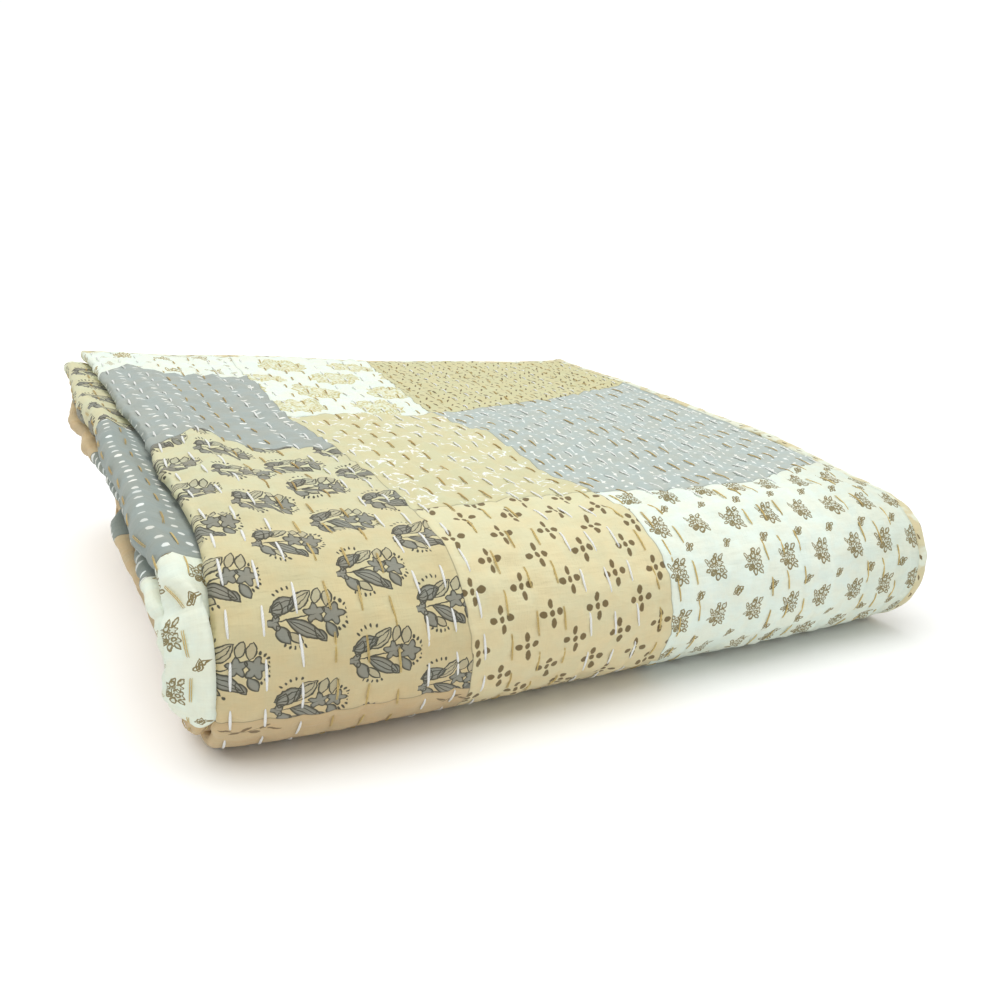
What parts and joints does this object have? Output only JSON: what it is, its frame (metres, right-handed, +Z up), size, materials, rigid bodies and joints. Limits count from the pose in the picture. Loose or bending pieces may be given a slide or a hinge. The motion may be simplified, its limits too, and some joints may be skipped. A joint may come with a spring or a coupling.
{
  "type": "kantha quilt",
  "caption": "Stitched patchwork throw folded into a rounded-front stack, with bound edges and rolled folds at the left.",
  "frame": {"origin": "on the surface the stack rests on, under the middle of its bounding box", "axes": "+Z up, +Y from the rounded front fold to the free ends at the back, +X from the rolled folds to the bound edge"},
  "size_m": [0.3988, 0.384, 0.1198],
  "materials": {
    "quilt_cloth": "soft matt stitched cotton in beige, grey and off-white printed patches",
    "binding_cloth": "matt printed cotton strip, puckered along its seam"
  },
  "bodies": {
    "root": {"quilt": "quilt_cloth", "binding_side_outer": "binding_cloth", "binding_side_inner": "binding_cloth", "binding_end_outer": "binding_cloth", "binding_end_inner": "binding_cloth"}
  },
  "joints": []
}
